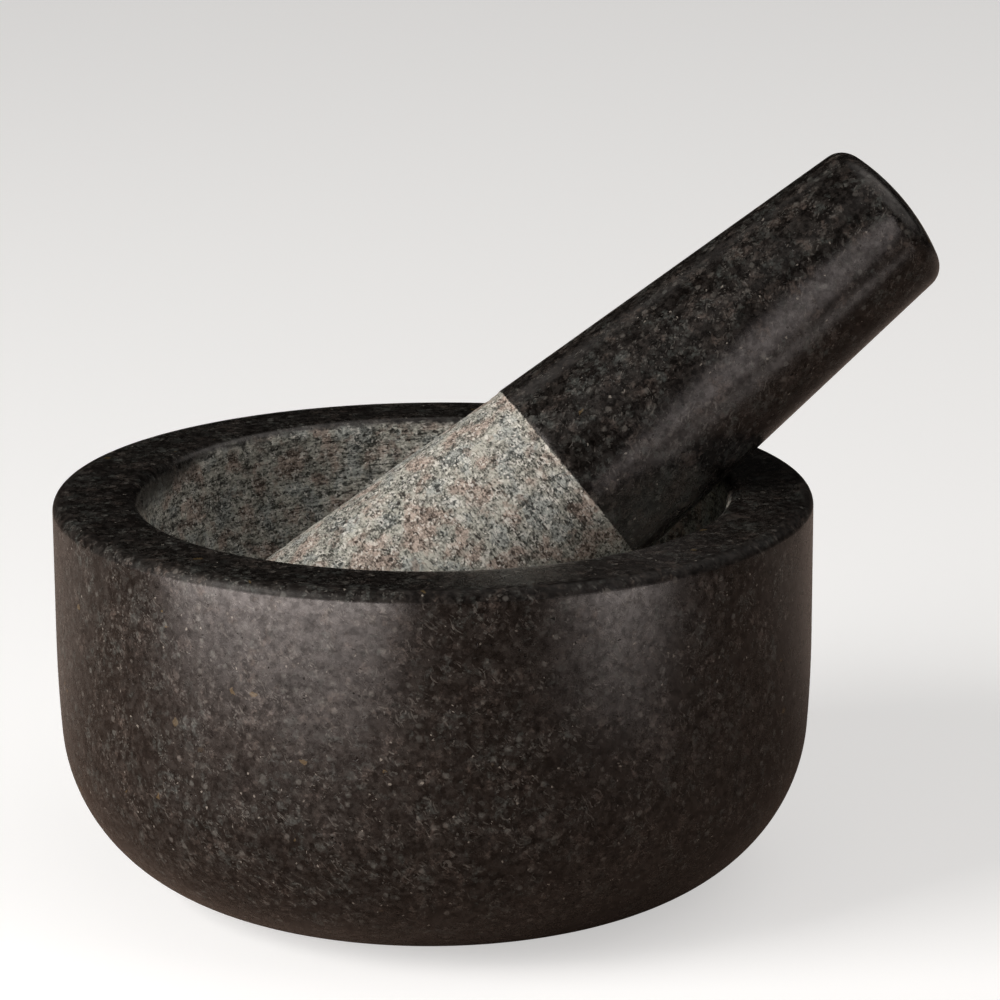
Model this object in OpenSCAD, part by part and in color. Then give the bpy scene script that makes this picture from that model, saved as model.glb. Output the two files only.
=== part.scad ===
// Turned stone mortar with its pestle leaning on the rim.
// Millimetres, +Z up. The origin is the centre of the flat underside of the mortar.

/* [Mortar outside] */
// Outer diameter of the mortar
mortar_d = 140; // [130:1:220]
// Height from the underside to the flat rim
mortar_h = 73.5; // [64:0.5:130]
// Radius of the bottom corner
corner_r = 32; // [10:0.5:34]
// Height at which the side wall starts to turn in
belly_z = 47.5; // [36:0.5:68]
// Radius of the slow curve between the side wall and the bottom corner
belly_r = 250; // [100:5:500]
// Rounding of the outer rim edge
rim_outer_r = 2.2; // [0.5:0.1:6]

/* [Mortar inside] */
// Diameter of the round hollow
hollow_d = 108; // [100:1:122]
// Depth from the rim to the lowest point of the hollow
hollow_depth = 55; // [44:0.5:66]
// Rounding of the inner rim edge
rim_inner_r = 3; // [0.5:0.1:8]

/* [Pestle] */
// Full length of the pestle
pestle_len = 147.5; // [110:0.5:220]
// Diameter the side has at the grinding end, before its rounding
head_d = 49.4; // [40:0.2:58]
// Diameter the side has at the grip end, before its rounding
grip_d = 29.8; // [20:0.2:44]
// Dome radius of the grinding end
head_dome_r = 55; // [40:1:120]
// Corner rounding of the grinding end
head_corner_r = 9; // [2:0.5:11.5]
// Dome radius of the grip end
grip_dome_r = 41; // [18:1:120]
// Corner rounding of the grip end
grip_corner_r = 4.2; // [1:0.1:7]

/* [Resting place] */
// Angle of the pestle above the horizontal, in degrees
lean = 37.3; // [34:0.1:42]
// Direction the pestle leans in, turned from +X towards +Y, in degrees
turn = 11.7; // [-180:0.1:180]
// Clearance between the pestle and the mortar where they touch
rest_gap = 0.3; // [0.1:0.05:1]

/* [Hidden] */
$fn = 180;

dark_stone = [0.17, 0.165, 0.16];
grey_stone = [0.36, 0.36, 0.35];

// Side wall of the mortar: the bottom corner circle runs into the belly curve.
mortar_r = mortar_d / 2;
belly_x = mortar_r - belly_r;
corner_x = belly_x + sqrt(pow(belly_r - corner_r, 2) - pow(belly_z - corner_r, 2));
belly_angle = atan2(belly_z - corner_r, corner_x - belly_x);
belly_end = [belly_x + belly_r * cos(belly_angle), belly_z - belly_r * sin(belly_angle)];

// Hollow: a ball that runs into the rounding of the inner rim edge.
hollow_r = hollow_d / 2;
hollow_z = mortar_h - hollow_depth + hollow_r;
edge_z = mortar_h - rim_inner_r;
edge_x = sqrt(pow(hollow_r + rim_inner_r, 2) - pow(hollow_z - edge_z, 2));

// Taper of the pestle, as a slope and as an angle.
slope = (head_d - grip_d) / 2 / pestle_len;
taper = atan(slope);

// Where the corner rounding of a pestle end has its centre, as [distance from
// the axis, distance from the tip]. It touches the dome and the tapered side.
function corner_at(r, k, dome_r, round_r) =
    let (
        a = r - round_r * sqrt(1 + k * k),
        b = a * k + dome_r,
        c = a * a + pow(dome_r, 2) - pow(dome_r - round_r, 2),
        s = (b - sqrt(b * b - (1 + k * k) * c)) / (1 + k * k)
    ) [a - k * s, s];

// Where that corner rounding touches the dome.
function dome_edge(corner, dome_r, round_r) =
    [0, dome_r] + (corner - [0, dome_r]) * dome_r / (dome_r - round_r);

head_corner = corner_at(head_d / 2, slope, head_dome_r, head_corner_r);
grip_corner = corner_at(grip_d / 2, -slope, grip_dome_r, grip_corner_r);
head_edge = dome_edge(head_corner, head_dome_r, head_corner_r);
grip_edge = dome_edge(grip_corner, grip_dome_r, grip_corner_r);

// Where the roundings touch the tapered side, measured from mid length.
half_len = pestle_len / 2;
side_normal = [cos(taper), sin(taper)];
head_side = head_corner - [0, half_len] + side_normal * head_corner_r;
grip_side = [grip_corner[0], half_len - grip_corner[1]] + side_normal * grip_corner_r;

// Swell of the corner roundings, so that they cross the dome and the side
// cleanly where they would only touch.
weld = 0.003;

// Resting place in the upright plane the pestle leans in: its side lies on the
// inner rim edge and the corner of its grinding end lies in the hollow.
axis_dir = [cos(lean), sin(lean)];
under_dir = [sin(lean), -cos(lean)];
press_dir = under_dir * cos(taper) + axis_dir * sin(taper);
climb_dir = [-press_dir[1], press_dir[0]];
press_at = press_dir * [edge_x, edge_z] - rim_inner_r - rest_gap - head_corner_r;
climb_at = climb_dir[1] * hollow_z
    - sqrt(pow(hollow_r - head_corner_r - rest_gap, 2)
        - pow(press_at - press_dir[1] * hollow_z, 2));
middle = press_dir * press_at + climb_dir * climb_at
    - under_dir * head_corner[0] + axis_dir * (half_len - head_corner[1]);

// Half section of the solid mortar body.
module body_section() {
    polygon([
        [0, 0], [corner_x, 0], belly_end, [mortar_r, belly_z],
        [mortar_r, mortar_h - rim_outer_r], [mortar_r - rim_outer_r, mortar_h], [0, mortar_h]
    ]);
    translate([corner_x, corner_r]) circle(r = corner_r);
    translate([mortar_r, mortar_h] - [rim_outer_r, rim_outer_r]) circle(r = rim_outer_r);
    intersection() {
        translate([belly_x, belly_z]) circle(r = belly_r);
        polygon([belly_end, [mortar_r, belly_end[1]], [mortar_r, belly_z]]);
    }
}

// Half section of the hollow, opening out over the inner rim edge.
module hollow_section() {
    translate([0, hollow_z]) circle(r = hollow_r);
    difference() {
        polygon([[0, hollow_z], [edge_x, edge_z], [edge_x, mortar_h + 1], [0, mortar_h + 1]]);
        translate([edge_x, edge_z]) circle(r = rim_inner_r);
    }
}

module mortar() {
    color(dark_stone)
    rotate_extrude()
    difference() {
        body_section();
        hollow_section();
    }
}

// Half section of a domed pestle end with its tip at the origin.
module end_section(dome_r, round_r, corner, edge) {
    translate(corner) circle(r = round_r + weld);
    intersection() {
        translate([0, dome_r]) circle(r = dome_r);
        square(edge);
    }
}

module pestle() {
    color(grey_stone)
    rotate([0, 0, turn])
    translate([middle[0], 0, middle[1]])
    rotate([0, 90 - lean, 0])
    rotate_extrude() {
        translate([0, -half_len])
        end_section(head_dome_r, head_corner_r, head_corner, head_edge);
        polygon([
            [0, head_edge[1] - half_len], [head_edge[0], head_edge[1] - half_len], head_side,
            grip_side, [grip_edge[0], half_len - grip_edge[1]], [0, half_len - grip_edge[1]]
        ]);
        translate([0, half_len])
        mirror([0, 1])
        end_section(grip_dome_r, grip_corner_r, grip_corner, grip_edge);
    }
}

mortar();
pestle();
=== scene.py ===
"""Looks of the stone mortar and its pestle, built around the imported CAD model.

Each stone is turned from the outline of its CAD piece, and its unpolished part is carved a
little way into it. Outlines, carving and the granite's patterns are in millimetres, and the
scene is in metres.
"""

import itertools
import math

import bpy
import numpy as np
from mathutils import Matrix, Vector


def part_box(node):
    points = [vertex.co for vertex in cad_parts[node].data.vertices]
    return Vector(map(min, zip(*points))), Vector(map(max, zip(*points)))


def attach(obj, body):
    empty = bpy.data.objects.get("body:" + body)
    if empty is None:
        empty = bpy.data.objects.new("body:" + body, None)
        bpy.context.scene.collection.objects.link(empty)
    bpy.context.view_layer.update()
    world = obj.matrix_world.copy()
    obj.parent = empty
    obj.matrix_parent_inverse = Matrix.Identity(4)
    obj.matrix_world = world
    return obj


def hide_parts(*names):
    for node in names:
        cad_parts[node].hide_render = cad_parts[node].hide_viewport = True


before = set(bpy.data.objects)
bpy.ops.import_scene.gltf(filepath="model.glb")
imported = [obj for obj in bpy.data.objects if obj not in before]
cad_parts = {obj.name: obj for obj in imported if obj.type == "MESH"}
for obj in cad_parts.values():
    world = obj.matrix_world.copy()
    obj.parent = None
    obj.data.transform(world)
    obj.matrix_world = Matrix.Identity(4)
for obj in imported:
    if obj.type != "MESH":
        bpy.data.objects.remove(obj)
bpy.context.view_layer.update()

MM = 0.001
HALF_PI = math.pi / 2

# ---------------------------------------------------------------- sizes, in millimetres

mortar_low, mortar_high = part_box("mortar")
MORTAR_R = (mortar_high.x - mortar_low.x) / 2 / MM
MORTAR_H = mortar_high.z / MM
CORNER_R = 32.0
BELLY_Z = 47.5
BELLY_R = 250.0
RIM_OUTER_R = 2.2
RIM_INNER_R = 3.0
HOLLOW_R = 54.0
HOLLOW_DEPTH = 55.0

PESTLE_LEN = 147.5
HEAD_R = 24.7
GRIP_R = 14.9
HEAD_DOME_R = 55.0
HEAD_CORNER_R = 9.0
GRIP_DOME_R = 41.0
GRIP_CORNER_R = 4.2
LEAN = math.radians(37.3)
TURN = math.radians(11.7)

# How far from the tip of the grinding end the polish of the grip begins.
POLISH_FROM = 67.1

BELLY_X = MORTAR_R - BELLY_R
CORNER_X = BELLY_X + math.sqrt((BELLY_R - CORNER_R) ** 2 - (BELLY_Z - CORNER_R) ** 2)
BELLY_TURN = math.atan2(BELLY_Z - CORNER_R, CORNER_X - BELLY_X)
HOLLOW_Z = MORTAR_H - HOLLOW_DEPTH + HOLLOW_R
EDGE_Z = MORTAR_H - RIM_INNER_R
EDGE_X = math.sqrt((HOLLOW_R + RIM_INNER_R) ** 2 - (HOLLOW_Z - EDGE_Z) ** 2)
EDGE_TURN = math.atan2(HOLLOW_Z - EDGE_Z, EDGE_X)

# How far below level, seen from the ball's centre, the coarser floor of the hollow begins.
FLOOR_TURN = math.radians(33)

# ---------------------------------------------------------------- outlines


def arc(centre, radius, start, end, step):
    """Points on an arc from one angle to another, about a step apart."""
    count = max(2, round(abs(end - start) * radius / step))
    turns = np.linspace(start, end, count + 1)
    return np.column_stack([
        centre[0] + radius * np.cos(turns),
        centre[1] + radius * np.sin(turns),
    ])


def line(start, end, step):
    """Points on a straight line, about a step apart."""
    count = max(1, round(math.dist(start, end) / step))
    return np.linspace(start, end, count + 1)


def join(*runs):
    """One outline from runs that each start where the last one ended."""
    return np.vstack([runs[0]] + [run[1:] for run in runs[1:]])


def mortar_outline():
    """Half section of the mortar, from the centre of its underside to the lowest point
    of the hollow, as (distance from the axis, height)."""
    rim_x = MORTAR_R - RIM_OUTER_R
    rim_z = MORTAR_H - RIM_OUTER_R
    hollow = (0, HOLLOW_Z)
    return join(
        line((0, 0), (CORNER_X, 0), step=3.0),
        arc((CORNER_X, CORNER_R), CORNER_R, -HALF_PI, -BELLY_TURN, step=1.5),
        arc((BELLY_X, BELLY_Z), BELLY_R, -BELLY_TURN, 0, step=2.5),
        line((MORTAR_R, BELLY_Z), (MORTAR_R, rim_z), step=2.6),
        arc((rim_x, rim_z), RIM_OUTER_R, 0, HALF_PI, step=0.4),
        line((rim_x, MORTAR_H), (EDGE_X, MORTAR_H), step=1.6),
        arc((EDGE_X, EDGE_Z), RIM_INNER_R, HALF_PI, math.pi - EDGE_TURN, step=0.46),
        arc(hollow, HOLLOW_R, -EDGE_TURN, -FLOOR_TURN, step=0.5),
        arc(hollow, HOLLOW_R, -FLOOR_TURN, -HALF_PI, step=0.75),
    )


def corner_centre(side_r, slope, dome_r, round_r):
    """Centre of the corner rounding of a pestle end, which touches its dome and side."""
    lean_in = 1 + slope ** 2
    reach = side_r - round_r * math.sqrt(lean_in)
    half = reach * slope + dome_r
    rest = reach ** 2 + dome_r ** 2 - (dome_r - round_r) ** 2
    along = (half - math.sqrt(half ** 2 - lean_in * rest)) / lean_in
    return reach - slope * along, along


def end_outline(side_r, slope, dome_r, round_r, dome_step, corner_step):
    """A pestle end from its tip to where its side begins."""
    centre = corner_centre(side_r, slope, dome_r, round_r)
    touch = math.atan2(centre[1] - dome_r, centre[0])
    return join(
        arc((0, dome_r), dome_r, -HALF_PI, touch, dome_step),
        arc(centre, round_r, touch, math.atan(slope), corner_step),
    )


def pestle_outline():
    """Half section of the pestle, as (distance from the axis, distance from the tip of
    the grinding end)."""
    slope = (HEAD_R - GRIP_R) / PESTLE_LEN
    head = end_outline(
        HEAD_R, slope, HEAD_DOME_R, HEAD_CORNER_R, dome_step=0.6, corner_step=0.45,
    )
    grip = end_outline(
        GRIP_R, -slope, GRIP_DOME_R, GRIP_CORNER_R, dome_step=1.0, corner_step=0.4,
    )
    grip = (grip * (1, -1) + (0, PESTLE_LEN))[::-1]
    border = (HEAD_R - slope * POLISH_FROM, POLISH_FROM)
    head[0, 0] = 0
    grip[-1, 0] = 0
    rough_side = line(head[-1], border, step=0.42)
    polished_side = line(border, grip[0], step=1.6)
    return join(head, rough_side, polished_side, grip)


# ---------------------------------------------------------------- turned meshes

FEWEST_IN_RING = 24
MOST_IN_ROUGH_RING = 720
MOST_IN_POLISHED_RING = 360
MOST_IN_PESTLE_RING = 384

# A ring has half as many points where they would lie closer than this share of the finest.
CLOSEST = 0.72


def ring_counts(radii, finest, most):
    """How many points each ring has: halved again and again towards the axis."""
    counts = []
    for radius, limit in zip(radii, most):
        count = limit
        while count > FEWEST_IN_RING and 2 * math.pi * radius / count < finest * CLOSEST:
            count //= 2
        counts.append(count)
    return counts


def band_faces(low, high):
    """Faces between two rings of points. One may have twice as many points as the other."""
    few, many, flip = (low, high, False) if len(low) <= len(high) else (high, low, True)
    share = len(many) // len(few)
    faces = []
    for i in range(len(few)):
        a, b = few[i], few[(i + 1) % len(few)]
        run = [many[(i * share + k) % len(many)] for k in range(share + 1)]
        if share == 1:
            made = [(a, b, run[1], run[0])]
        else:
            made = [(a, run[1], run[0]), (a, b, run[1]), (b, run[2], run[1])]
        faces.extend([face[::-1] for face in made] if flip else made)
    return faces


def turned_mesh(name, outline, counts):
    """A closed mesh turned about Z from an outline that starts and ends on the axis."""
    points, faces, rings = [], [], []
    for (radius, height), count in zip(outline[1:-1], counts[1:-1]):
        turns = np.arange(count) * 2 * math.pi / count
        rings.append(len(points) + np.arange(count))
        points.extend(zip(radius * np.cos(turns), radius * np.sin(turns), [height] * count))
    for low, high in itertools.pairwise(rings):
        faces.extend(band_faces(low, high))
    for ring, end, flip in ((rings[0], outline[0], True), (rings[-1], outline[-1], False)):
        pole = len(points)
        points.append((0, 0, end[1]))
        for i in range(len(ring)):
            face = (ring[i], ring[(i + 1) % len(ring)], pole)
            faces.append(face[::-1] if flip else face)
    mesh = bpy.data.meshes.new(name)
    mesh.from_pydata([tuple(map(float, p)) for p in points], [], faces)
    mesh.shade_smooth()
    return mesh


# ---------------------------------------------------------------- carving

MORTAR_SEED = 11
PESTLE_SEED = 31
NOISE_VALUES = 4096
NOISE_PRIMES = (73856093, 19349663, 83492791)


def lattice_noise(points, cell, seed):
    """Seeded smooth noise from -1 to 1. The cell size may differ along X, Y and Z."""
    values = np.random.default_rng(seed).uniform(-1, 1, NOISE_VALUES)
    scaled = points / cell
    low = np.floor(scaled).astype(np.int64)
    part = scaled - low
    part = part * part * (3 - 2 * part)
    total = np.zeros(len(points))
    for corner in itertools.product((0, 1), repeat=3):
        mixed = (low + corner) * NOISE_PRIMES
        key = mixed[:, 0] ^ mixed[:, 1] ^ mixed[:, 2]
        weight = np.prod(np.where(corner, part, 1 - part), axis=1)
        total += weight * values[key % NOISE_VALUES]
    return total


def ease(value, low, high):
    """0 below low, 1 above high, and a smooth step between."""
    part = np.clip((value - low) / (high - low), 0, 1)
    return part * part * (3 - 2 * part)


def carved(mesh, depth):
    """Moves each point into the stone along its normal by its depth in millimetres."""
    points = np.empty(len(mesh.vertices) * 3)
    mesh.vertices.foreach_get("co", points)
    points = points.reshape(-1, 3)
    normals = np.empty(len(mesh.vertices) * 3)
    mesh.vertices.foreach_get("normal", normals)
    points -= normals.reshape(-1, 3) * np.clip(depth(points), 0, None)[:, None]
    mesh.vertices.foreach_set("co", points.ravel())


def tooling(points, along, seed, line_depth, pit_depth):
    """Depth of turning lines, torn grain and pits on the unpolished stone. The place of
    each point along the outline stretches the marks around the axis."""
    around = np.column_stack([points[:, 0], points[:, 1], along])
    lines = lattice_noise(around, cell=(24, 24, 1.05), seed=seed)
    lines += 0.7 * lattice_noise(around, cell=(13, 13, 2.3), seed=seed + 1)
    grain = 0.04 * lattice_noise(points, cell=0.95, seed=seed + 2)
    waves = 0.06 * lattice_noise(points, cell=11, seed=seed + 3)
    crowd = ease(lattice_noise(points, cell=9, seed=seed + 4), -0.3, 0.4)
    torn = ease(lattice_noise(around, cell=(3.6, 3.6, 1.4), seed=seed + 5), 0.38, 0.7)
    holes = ease(lattice_noise(around, cell=(2.0, 2.0, 1.3), seed=seed + 6), 0.46, 0.66)
    pits = crowd * np.maximum(0.7 * torn, holes)
    mean_depth = 0.2
    return mean_depth + line_depth * lines + grain + waves + pit_depth * pits


def mortar_depth(points):
    """The hollow is left rough. Its edge and everything outside are polished."""
    from_centre = points - (0, 0, HOLLOW_Z)
    distance = np.linalg.norm(from_centre, axis=1)
    from_axis = np.hypot(points[:, 0], points[:, 1])
    along = HOLLOW_R * np.arctan2(-from_centre[:, 2], from_axis)
    rough = 1 - ease(distance, HOLLOW_R + 0.05, HOLLOW_R + 1.1)
    return rough * tooling(points, along, MORTAR_SEED, line_depth=0.085, pit_depth=0.42)


def pestle_depth(points):
    """The grinding end is left rough up to a crisp line. The grip is polished."""
    along = points[:, 2]
    rough = 1 - ease(along, POLISH_FROM - 0.7, POLISH_FROM - 0.1)
    return rough * tooling(points, along, PESTLE_SEED, line_depth=0.022, pit_depth=0.30)


# ---------------------------------------------------------------- the two stones


def stone_piece(name, outline, limits, finest, depth, place, body):
    """One stone, carved in its own frame and then put in its place, in metres."""
    mesh = turned_mesh(name, outline, ring_counts(outline[:, 0], finest, limits))
    carved(mesh, depth)
    mesh.transform(place @ Matrix.Scale(MM, 4))
    mesh.update()
    piece = bpy.data.objects.new(name, mesh)
    bpy.context.scene.collection.objects.link(piece)
    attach(piece, body)
    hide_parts(body)
    return piece


def pestle_place(outline):
    """Turns the pestle's own Z to its leaning axis and centres it in its CAD box."""
    turned = Matrix.Rotation(TURN, 4, "Z") @ Matrix.Rotation(HALF_PI - LEAN, 4, "Y")
    axis = np.array(turned.col[2][:3])
    spread = np.sqrt(1 - axis ** 2)
    reach_high = outline[:, :1] * spread + outline[:, 1:] * axis
    reach_low = -outline[:, :1] * spread + outline[:, 1:] * axis
    own_middle = (reach_high.max(0) + reach_low.min(0)) / 2 * MM
    low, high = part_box("pestle")
    return Matrix.Translation((low + high) / 2 - Vector(own_middle)) @ turned


def mortar_ring_limits(outline):
    """The most points each ring may have: more from the middle of the flat rim inwards."""
    on_rim = outline[:, 1] > MORTAR_H - 1e-6
    within = outline[:, 0] < 0.9 * MORTAR_R
    inside = np.arange(len(outline)) > np.argmax(on_rim & within)
    return np.where(inside, MOST_IN_ROUGH_RING, MOST_IN_POLISHED_RING)


mortar_rings = mortar_outline()
mortar = stone_piece(
    "mortar_stone", mortar_rings, mortar_ring_limits(mortar_rings), finest=0.55,
    depth=mortar_depth, place=Matrix.Identity(4), body="mortar",
)

pestle_rings = pestle_outline()
PESTLE_PLACE = pestle_place(pestle_rings)
pestle = stone_piece(
    "pestle_stone", pestle_rings, np.full(len(pestle_rings), MOST_IN_PESTLE_RING), finest=0.5,
    depth=pestle_depth, place=PESTLE_PLACE, body="pestle",
)

# ---------------------------------------------------------------- node materials


class Paint:
    """A node material. The methods after surface() add nodes and give back their output."""

    def __init__(self, name):
        self.material = bpy.data.materials.new(name)
        self.material.use_nodes = True
        self.tree = self.material.node_tree
        self.shader = self.tree.nodes["Principled BSDF"]

    def feed(self, socket, value):
        if isinstance(value, bpy.types.NodeSocket):
            self.tree.links.new(value, socket)
        else:
            socket.default_value = value

    def surface(self, **values):
        """Sets or links the shader's own sockets, with _ for each space in a name."""
        for name, value in values.items():
            self.feed(self.shader.inputs[name.replace("_", " ")], value)

    def add(self, kind, output, inputs, **settings):
        node = self.tree.nodes.new("ShaderNode" + kind)
        for name, value in settings.items():
            setattr(node, name, value)
        for name, value in inputs.items():
            self.feed(node.inputs[name], value)
        return node.outputs[output]

    def split(self, kind, value):
        """The three numbers of a colour (Color) or of a vector (XYZ)."""
        node = self.tree.nodes.new("ShaderNodeSeparate" + kind)
        self.feed(node.inputs[0], value)
        return tuple(node.outputs)

    def math(self, operation, *values):
        return self.add("Math", 0, dict(enumerate(values)), operation=operation)

    def times(self, first, second):
        return self.math("MULTIPLY", first, second)

    def plus(self, first, second):
        return self.math("ADD", first, second)

    def minus(self, first, second):
        return self.math("SUBTRACT", first, second)

    def most(self, first, second):
        return self.math("MAXIMUM", first, second)

    def swing(self, value, amount):
        """A share of how far a pattern is above or below its middle, which is 0.5."""
        return self.times(self.minus(value, 0.5), amount)

    def step(self, value, low, high):
        """0 at low, 1 at high, smooth between."""
        inputs = {"Value": value, "From Min": low, "From Max": high}
        return self.add("MapRange", "Result", inputs, interpolation_type="SMOOTHSTEP")

    def blend(self, amount, first, second):
        """The first colour where amount is 0 and the second where it is 1."""
        return self.add("Mix", 2, {0: amount, 6: first, 7: second}, data_type="RGBA")

    def fade(self, amount, first, second):
        """The first number where amount is 0 and the second where it is 1."""
        return self.math("MULTIPLY_ADD", self.minus(second, first), amount, first)

    def shift(self, vector, other, amount):
        """The vector moved by a share of another one."""
        scaled = self.add("VectorMath", 0, {0: other, "Scale": amount}, operation="SCALE")
        return self.add("VectorMath", 0, {0: vector, 1: scaled}, operation="ADD")

    def stretch(self, vector, factors):
        return self.add("VectorMath", 0, {0: vector, 1: factors}, operation="MULTIPLY")

    def slant(self, vector, turn, lengths):
        """The vector turned and then measured in the given lengths."""
        inputs = {"Vector": vector, "Rotation": turn, "Scale": lengths}
        return self.add("Mapping", "Vector", inputs, vector_type="TEXTURE")

    def from_axis(self, vector):
        """Distance from the Z axis."""
        flat = self.stretch(vector, (1, 1, 0))
        return self.add("VectorMath", "Value", {0: flat}, operation="LENGTH")

    def noise(self, vector, size, detail=0.0, output="Fac", roughness=0.5):
        inputs = {
            "Vector": vector, "Scale": 1 / size, "Detail": detail, "Roughness": roughness,
        }
        return self.add("TexNoise", output, inputs)

    def cells(self, vector, size, output="Color"):
        return self.add("TexVoronoi", output, {"Vector": vector, "Scale": 1 / size})


# ---------------------------------------------------------------- granite

BLACK_MINERAL = (0.0012, 0.0009, 0.0007, 1.0)
BROWN_MINERAL = (0.0056, 0.0043, 0.0036, 1.0)
GREY_MINERAL = (0.0190, 0.0172, 0.0158, 1.0)
COOL_FLECK = (0.060, 0.069, 0.065, 1.0)
WARM_FLECK = (0.082, 0.067, 0.058, 1.0)
PALE_SPECK = (0.115, 0.116, 0.108, 1.0)
PALE_NEEDLE = (0.15, 0.145, 0.132, 1.0)
BRIGHT_SPECK = (0.38, 0.36, 0.32, 1.0)
GOLD_SPECK = (0.14, 0.095, 0.035, 1.0)

DARK_GREEN = (0.030, 0.033, 0.029, 1.0)
PALE_GREEN = (0.43, 0.44, 0.395, 1.0)
DARK_PINK = (0.042, 0.029, 0.022, 1.0)
PALE_PINK = (0.46, 0.385, 0.335, 1.0)
DARK_BLUE = (0.027, 0.032, 0.032, 1.0)
PALE_BLUE = (0.38, 0.42, 0.41, 1.0)
DARK_RUST = (0.020, 0.014, 0.011, 1.0)
PALE_RUST = (0.26, 0.20, 0.165, 1.0)
WHITE_GRAIN = (0.72, 0.72, 0.68, 1.0)
# Painted shade: the colour that darkens the pits of the rough stone.
PAINTED_PIT_SHADE = (0.016, 0.014, 0.012, 1.0)

# Sizes of the crystals and of the patches that they lie in. A needle is a small cell that
# is drawn out along one axis of its own slanted frame.
SMALL_CRYSTAL = 0.36
CRYSTAL = 1.0
SPOT = 2.1
NEEDLE = 0.40
LONG_NEEDLE = (5.0, 0.55, 0.5)
CROSSING_NEEDLE = (0.5, 5.5, 0.6)
PATCH = 5.0
TINT_PATCH = 5.5
WIDE_PATCH = 15.0


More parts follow.
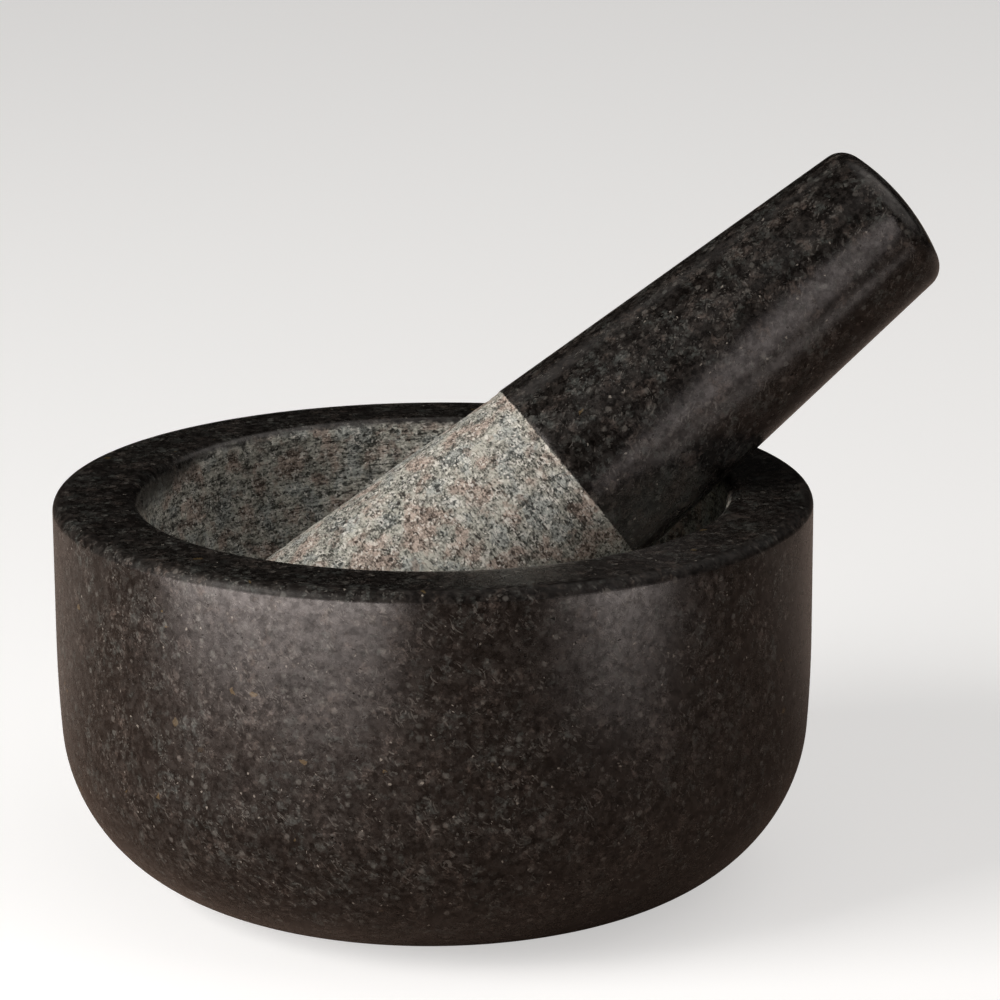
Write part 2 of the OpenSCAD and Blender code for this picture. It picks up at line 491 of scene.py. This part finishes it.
class Granite(Paint):
    """Dark fine-grained stone: near black with grey flecks where it is polished, and pale
    grey with the same crystals where it is left rough.

    Crowding is how much more of the polished stone is flecked in a crowded patch. Turned
    shade and turned depth are how far the marks of turning show on the rough stone."""

    def __init__(self, name, place, sweep, crowding, turned_shade, turned_depth):
        super().__init__(name)
        self.crowding = crowding
        self.turned_shade = turned_shade
        self.turned_depth = turned_depth

        metres = self.add("TexCoord", "Object", {})
        inputs = {
            "Vector": metres, "Location": place.translation, "Rotation": place.to_euler(),
        }
        own = self.add("Mapping", "Vector", inputs, vector_type="TEXTURE")
        self.mm = self.stretch(own, (1 / MM, 1 / MM, 1 / MM))
        self.sweep = sweep(self)

        # Crystals are cells with wandering edges. Each has its own random numbers.
        wander = self.noise(self.mm, size=0.7, detail=1.0, output="Color")
        self.bent = self.shift(self.mm, wander, 0.55)
        self.crystal = self.split("Color", self.cells(self.bent, CRYSTAL))
        self.small = self.split("Color", self.cells(self.bent, SMALL_CRYSTAL))

        self.crowd = self.noise(self.mm, size=PATCH, detail=2.0)
        self.tint = self.noise(self.shift(self.mm, wander, 1.5), size=TINT_PATCH, detail=2.0)
        self.spread = self.noise(self.mm, size=WIDE_PATCH, detail=1.0)
        self.flake = self.flakes()
        self.pock = self.pocks()
        self.salt = self.noise(self.along(0.42), size=0.36, detail=2.0, roughness=0.7)
        self.turned = self.noise(self.along(0.11), size=0.62, detail=2.0, roughness=0.65)
        # Pits of the rough stone: sunk in the relief, and darkened in colour as painted shade.
        self.pits = self.step(self.noise(self.along(0.55), size=0.95, detail=1.0), 0.69, 0.74)

    def along(self, share):
        """The place on the outline, with marks drawn out around the axis."""
        return self.stretch(self.sweep, (share, share, 1.0))

    def crowded(self, pattern, crowding, edge, width):
        """1 where a pattern is a width above an edge, which is lower in a crowded patch."""
        low = self.minus(edge, self.times(self.crowd, crowding))
        return self.step(pattern, low, self.plus(low, width))

    def flakes(self):
        """Grey crystals, and soft clouds of finer ones."""
        flake = self.crowded(self.crystal[0], self.crowding, edge=0.92, width=0.40)
        flake = self.times(flake, self.plus(0.25, self.times(self.crystal[1], 0.45)))
        cloud = self.noise(self.bent, size=1.7, detail=2.0, roughness=0.55)
        cloud = self.crowded(cloud, self.crowding, edge=0.72, width=0.26)
        return self.most(flake, self.times(cloud, 0.95))

    def pocks(self):
        """Small pits in the polished stone. Their dark colour is painted shade."""
        pock = self.step(self.noise(self.bent, size=0.8, detail=1.0), 0.71, 0.76)
        return self.times(pock, self.step(self.spread, 0.40, 0.62))

    def spots(self):
        """Round pale crystals with soft edges."""
        kind = self.split("Color", self.cells(self.bent, SPOT))[0]
        spot = self.step(self.cells(self.bent, SPOT, "Distance"), 0.36, 0.16)
        return self.times(spot, self.step(kind, 0.66, 0.96))

    def needles(self):
        """Thin curved crystals in two directions."""
        curved = self.shift(self.mm, self.noise(self.mm, size=2.6, detail=0.0, output="Color"), 2.2)
        first = self.slant(curved, (0.5, 0.9, 0.3), LONG_NEEDLE)
        second = self.slant(curved, (0.7, -0.4, 1.1), CROSSING_NEEDLE)
        first = self.step(self.split("Color", self.cells(first, NEEDLE))[0], 0.955, 0.975)
        second = self.step(self.split("Color", self.cells(second, NEEDLE))[0], 0.965, 0.985)
        return self.times(self.plus(first, second), self.step(self.crowd, 0.36, 0.60))

    def polished(self):
        """Colour of the polished stone."""
        mottle = self.noise(self.bent, size=1.5, detail=2.0, roughness=0.6)
        mottle = self.times(self.step(mottle, 0.44, 0.64), 0.75)
        ground = self.blend(self.small[2], BLACK_MINERAL, BROWN_MINERAL)
        ground = self.blend(mottle, ground, GREY_MINERAL)

        dust = self.step(self.noise(self.mm, size=0.42, detail=2.0, roughness=0.7), 0.62, 0.34)
        fleck = self.blend(self.step(self.tint, 0.44, 0.58), COOL_FLECK, WARM_FLECK)
        fleck = self.blend(dust, fleck, BROWN_MINERAL)
        pale_fleck = self.blend(0.5, fleck, PALE_SPECK)

        speck = self.crowded(self.small[0], crowding=0.30, edge=1.08, width=0.12)
        bright = self.step(self.small[1], 0.9970, 0.9990)
        gold = self.step(self.crystal[2], 0.9991, 0.9995)
        colour = self.blend(self.times(self.flake, 0.80), ground, fleck)
        colour = self.blend(self.times(self.spots(), 0.75), colour, pale_fleck)
        colour = self.blend(self.times(speck, 0.50), colour, PALE_SPECK)
        colour = self.blend(self.times(self.needles(), 0.34), colour, PALE_NEEDLE)
        colour = self.blend(self.times(bright, 0.4), colour, BRIGHT_SPECK)
        colour = self.blend(self.times(gold, 0.4), colour, GOLD_SPECK)
        # Painted shade: the small pits, which the relief also sinks, are darkened to black.
        return self.blend(self.times(self.pock, 0.8), colour, BLACK_MINERAL)

    def rough(self):
        """Colour of the unpolished stone: salt and pepper, tinted in patches, with painted shade in
        the pits.
        """
        pepper = self.times(self.salt, 1.05)
        pepper = self.plus(pepper, self.swing(self.small[0], 0.30))
        pepper = self.plus(pepper, self.swing(self.crystal[0], 0.26))
        pepper = self.plus(pepper, self.swing(self.crowd, 0.44))
        pepper = self.plus(pepper, self.swing(self.turned, self.turned_shade))
        level = self.step(pepper, 0.20, 0.84)

        green = self.blend(level, DARK_GREEN, PALE_GREEN)
        pink = self.blend(level, DARK_PINK, PALE_PINK)
        blue = self.blend(level, DARK_BLUE, PALE_BLUE)
        rust = self.blend(level, DARK_RUST, PALE_RUST)
        white = self.times(
            self.step(self.crystal[1], 0.80, 0.92), self.step(self.salt, 0.42, 0.58),
        )
        white = self.most(white, self.step(self.small[1], 0.93, 0.97))
        rusty = self.step(self.noise(self.bent, size=4.0, detail=3.0, roughness=0.7), 0.58, 0.66)

        colour = self.blend(self.times(self.step(self.tint, 0.50, 0.62), 0.85), green, pink)
        colour = self.blend(self.times(self.step(self.tint, 0.46, 0.38), 0.7), colour, blue)
        colour = self.blend(self.times(white, 0.62), colour, WHITE_GRAIN)
        colour = self.blend(self.times(rusty, 0.6), colour, rust)
        # Painted shade: the pits, which the relief also sinks, are darkened in colour.
        return self.blend(self.times(self.pits, 0.85), colour, PAINTED_PIT_SHADE)

    def gloss(self, worn):
        """Roughness of the polish. The dark minerals take a better polish than the flecks."""
        gloss = self.plus(0.20, self.times(self.small[2], 0.06))
        gloss = self.plus(gloss, self.times(self.flake, 0.10))
        gloss = self.plus(gloss, self.times(self.step(self.spread, 0.4, 0.7), 0.05))
        return self.plus(gloss, self.times(worn, 0.20))

    def shine(self, worn):
        """How strongly the polish mirrors: less in pits and on a worn edge."""
        shine = self.step(self.noise(self.bent, size=1.6, detail=4.0, roughness=0.70), 0.32, 0.68)
        shine = self.plus(0.35, self.times(shine, 0.34))
        shine = self.times(shine, self.minus(1.0, self.times(self.pock, 0.8)))
        shine = self.plus(shine, self.swing(self.crystal[2], 0.18))
        return self.times(shine, self.minus(1.0, self.times(worn, 0.68)))

    def relief(self, mask):
        """Height of the fine relief, in millimetres."""
        grains = self.times(self.cells(self.mm, size=0.55, output="Distance"), 0.06)
        fine = self.noise(self.along(0.45), size=0.30, detail=2.0, roughness=0.7)
        coarse = self.times(fine, 0.14)
        coarse = self.plus(coarse, grains)
        coarse = self.plus(coarse, self.times(self.turned, self.turned_depth))
        coarse = self.minus(coarse, self.times(self.pits, 0.18))
        skin = self.times(self.noise(self.mm, size=2.4, detail=1.0), 0.014)
        skin = self.plus(skin, self.times(self.small[2], 0.0012))
        skin = self.minus(skin, self.times(self.pock, 0.05))
        return self.fade(mask, skin, coarse)

    def finish(self, mask, worn=0.0):
        """Links the shader, with rough stone where the mask is 1 and polish where it is 0."""
        bump = {"Strength": 1.0, "Distance": MM, "Height": self.relief(mask)}
        dull = self.plus(0.84, self.times(self.salt, 0.12))
        self.surface(
            Base_Color=self.blend(mask, self.polished(), self.rough()),
            Roughness=self.fade(mask, self.gloss(worn), dull),
            Specular_IOR_Level=self.fade(mask, self.shine(worn), 0.4),
            Normal=self.add("Bump", "Normal", bump),
            IOR=1.5,
        )
        return self.material


def mortar_sweep(p):
    """X, Y and the place along the hollow's outline."""
    x, y, z = p.split("XYZ", p.mm)
    down = p.minus(HOLLOW_Z, z)
    along = p.times(p.math("ARCTAN2", down, p.from_axis(p.mm)), HOLLOW_R)
    return p.add("CombineXYZ", 0, {0: x, 1: y, 2: along})


def pestle_sweep(p):
    """X, Y and the place along the pestle's outline."""
    x, y, z = p.split("XYZ", p.mm)
    return p.add("CombineXYZ", 0, {0: x, 1: y, 2: p.minus(z, p.from_axis(p.mm))})


def mortar_mask(p):
    """1 in the hollow, fading out below its edge. Painted shade: the dark polish reaches deeper at
    the left, under the rim.
    """
    x, _, z = p.split("XYZ", p.mm)
    ball = p.add("VectorMath", "Value", {0: p.mm, 1: (0, 0, HOLLOW_Z)}, operation="DISTANCE")
    ragged = p.swing(p.noise(p.mm, size=1.6, detail=3.0), 1.4)
    inside = p.step(p.plus(ball, ragged), HOLLOW_R + 1.2, HOLLOW_R + 0.2)
    # Painted shade: under the left rim the dark polished stone reaches lower and fades out softly,
    # in place of the shadow that the rim casts into the hollow.
    left = p.step(x, -38.0, -52.0)
    ragged_z = p.math("MULTIPLY_ADD", ragged, p.times(left, 2.4), z)
    drop = p.minus(p.fade(left, EDGE_Z + 4.0, EDGE_Z + 0.5), ragged_z)
    return p.times(inside, p.step(drop, 0.0, p.fade(left, 1.0, 6.0)))


def pestle_mask(p):
    """1 on the grinding end, up to a crisp and slightly ragged line."""
    ragged = p.swing(p.noise(p.mm, size=0.5, detail=2.0), 0.55)
    along = p.plus(p.split("XYZ", p.mm)[2], ragged)
    return p.step(along, POLISH_FROM + 0.1, POLISH_FROM - 0.15)


def worn_edge(p):
    """1 on the outer rim rounding, which is ground but not polished like the wall."""
    high = p.step(p.split("XYZ", p.mm)[2], MORTAR_H - 2.1, MORTAR_H - 1.6)
    return p.times(high, p.step(p.from_axis(p.mm), MORTAR_R - 3.0, MORTAR_R - 2.0))


mortar_granite = Granite(
    "mortar_granite", Matrix.Identity(4), mortar_sweep,
    crowding=0.42, turned_shade=0.9, turned_depth=0.16,
)
mortar.data.materials.append(
    mortar_granite.finish(mortar_mask(mortar_granite), worn_edge(mortar_granite))
)

pestle_granite = Granite(
    "pestle_granite", PESTLE_PLACE, pestle_sweep,
    crowding=0.47, turned_shade=0.25, turned_depth=0.05,
)
pestle.data.materials.append(pestle_granite.finish(pestle_mask(pestle_granite)))

# ---------------------------------------------------------------- floor, in metres

FLOOR_HALF = 6.0
FLOOR_Z = -0.0001
FLOOR_CORNERS = ((-1, -1), (1, -1), (1, 1), (-1, 1))
FLOOR_SEEN = (0.53, 0.56, 0.58, 1.0)
FLOOR_NEAR = (0.23, 0.172, 0.142, 1.0)
FLOOR_FAR = (0.38, 0.315, 0.28, 1.0)
FLOOR_WHITE = (1.0, 0.985, 0.97, 1.0)
FLOOR_GLOW = 0.52

floor_mesh = bpy.data.meshes.new("floor")
floor_points = [(x * FLOOR_HALF, y * FLOOR_HALF, FLOOR_Z) for x, y in FLOOR_CORNERS]
floor_mesh.from_pydata(floor_points, [], [(0, 1, 2, 3)])
floor = bpy.data.objects.new("floor", floor_mesh)
bpy.context.scene.collection.objects.link(floor)

# The floor is pale where it is seen. The stone sees a darker and warmer one, which is
# darkest in front of the mortar.
floor_paint = Paint("pale_floor")
seen = floor_paint.add("LightPath", "Is Camera Ray", {})
floor_y = floor_paint.split("XYZ", floor_paint.add("TexCoord", "Object", {}))[1]
bounced = floor_paint.blend(floor_paint.step(floor_y, 0.02, 0.12), FLOOR_NEAR, FLOOR_FAR)
floor_paint.surface(
    Base_Color=floor_paint.blend(seen, bounced, FLOOR_SEEN),
    Roughness=0.9,
    Specular_IOR_Level=0.1,
    Emission_Color=FLOOR_WHITE,
    Emission_Strength=floor_paint.times(seen, FLOOR_GLOW),
)
floor_mesh.materials.append(floor_paint.material)

# ---------------------------------------------------------------- lights, in metres

WARM_WHITE = (1.0, 0.925, 0.87)
CARD_WHITE = (1.0, 0.89, 0.85)
GRIP_CARD_WHITE = (1.0, 0.88, 0.85)
ROOM_COLOUR = (1.0, 0.95, 0.9, 1.0)
ROOM_GLOW = 0.006


def softbox(name, place, aim, size, glow, colour=WARM_WHITE, spread=180):
    """A soft rectangular light. Glow is how bright its face is, with 1 for white paper.
    A spread below 180 degrees is a grid on its front, which keeps its light to one part."""
    light = bpy.data.lights.new(name, "AREA")
    light.shape = "RECTANGLE"
    light.size, light.size_y = size
    light.energy = glow * math.pi * size[0] * size[1]
    light.color = colour
    light.spread = math.radians(spread)
    lamp = bpy.data.objects.new(name, light)
    lamp.location = place
    lamp.rotation_euler = (Vector(aim) - Vector(place)).to_track_quat("-Z", "Y").to_euler()
    lamp.visible_camera = False
    bpy.context.scene.collection.objects.link(lamp)


def around(turn, distance, height):
    """A place at an angle to the left (negative) or right of the camera's side."""
    angle = math.radians(turn)
    return Vector((math.sin(angle) * distance, -math.cos(angle) * distance, height))


stone_middle = (0, 0, 0.06)
softbox("overhead", (1.7, 0, 3.5), aim=(1.7, 0, 0), size=(5.2, 5.6), glow=0.40)
softbox("key", around(-62, 0.92, 0.52), aim=stone_middle, size=(0.60, 0.60), glow=11.5)
softbox("top_right", around(95, 0.68, 0.87), aim=stone_middle, size=(1.30, 1.30), glow=0.50)
softbox("back_left", around(-140, 0.80, 0.72), aim=(0, 0, 0.08), size=(0.34, 0.34), glow=0.35)

# Low cards that the polished wall mirrors as two soft highlights, and one for the grip.
softbox(
    "left_card", around(-42, 0.225, 0.046), aim=around(-44, 0, 0.046),
    size=(0.28, 0.066), glow=4.8, colour=CARD_WHITE,
)
softbox(
    "right_card", around(44, 0.256, 0.028), aim=(0.02, -0.077, 0.06),
    size=(0.20, 0.036), glow=0.22, colour=CARD_WHITE, spread=45,
)
softbox(
    "grip_card", around(41.5, 0.194, 0.128), aim=(0.09, 0, 0.120),
    size=(0.07, 0.12), glow=1.75, colour=GRIP_CARD_WHITE,
)

world = bpy.data.worlds.new("studio")
world.use_nodes = True
bpy.context.scene.world = world
room = world.node_tree.nodes["Background"]
room.inputs["Color"].default_value = ROOM_COLOUR
room.inputs["Strength"].default_value = ROOM_GLOW

# ---------------------------------------------------------------- camera, in metres

CAMERA_PLACE = (0, -0.7745, 0.2753)
YAW = math.radians(0.91)
PITCH = math.radians(14.764)
ROLL = math.radians(-0.263)
LENS_LENGTH = 156.17
SENSOR_WIDTH = 36.0

lens = bpy.data.cameras.new("camera")
lens.sensor_width = SENSOR_WIDTH
lens.lens = LENS_LENGTH
lens.clip_start = 0.01
lens.clip_end = 60.0
camera = bpy.data.objects.new("camera", lens)
camera.matrix_world = (
    Matrix.Translation(CAMERA_PLACE)
    @ Matrix.Rotation(-YAW, 4, "Z")
    @ Matrix.Rotation(HALF_PI - PITCH, 4, "X")
    @ Matrix.Rotation(ROLL, 4, "Z")
)
bpy.context.scene.collection.objects.link(camera)
bpy.context.scene.camera = camera
bpy.context.scene.view_settings.view_transform = "Standard"
